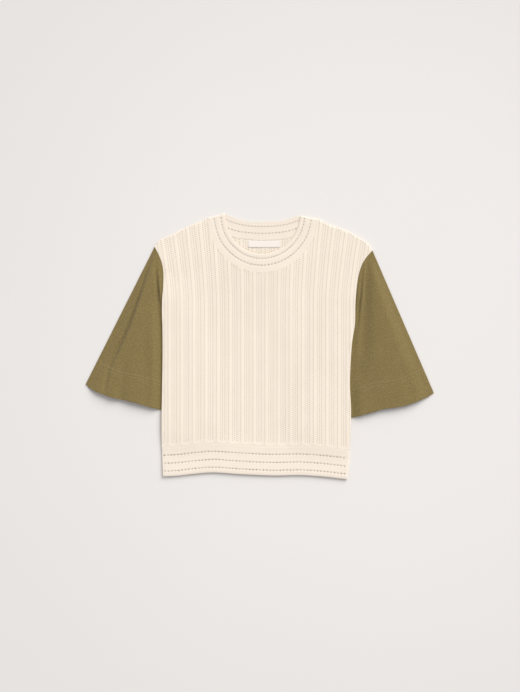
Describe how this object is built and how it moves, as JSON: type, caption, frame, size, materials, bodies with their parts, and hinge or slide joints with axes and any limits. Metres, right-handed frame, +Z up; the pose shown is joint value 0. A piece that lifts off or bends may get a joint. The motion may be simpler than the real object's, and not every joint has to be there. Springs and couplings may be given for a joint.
{
  "type": "crop top",
  "caption": "Short boxy top laid flat: ribbed openwork knit body with eyelet hem band and neckband, and wide elbow-length woven sleeves.",
  "frame": {"origin": "bottom centre of the whole top as it lies flat, on the surface", "axes": "+X across the top from its left side in plan to its right, +Y from the hem to the neck, +Z up from the surface, away from the back"},
  "size_m": [0.7308, 0.557, 0.0109],
  "materials": {
    "knit": "matt cream openwork knit",
    "woven_olive": "matt olive plain weave",
    "label": "white woven tape"
  },
  "bodies": {
    "root": {"front_panel": "knit", "back_panel": "knit", "neckband": "knit", "sleeve_left": "woven_olive", "sleeve_right": "woven_olive", "neck_label": "label"}
  },
  "joints": []
}
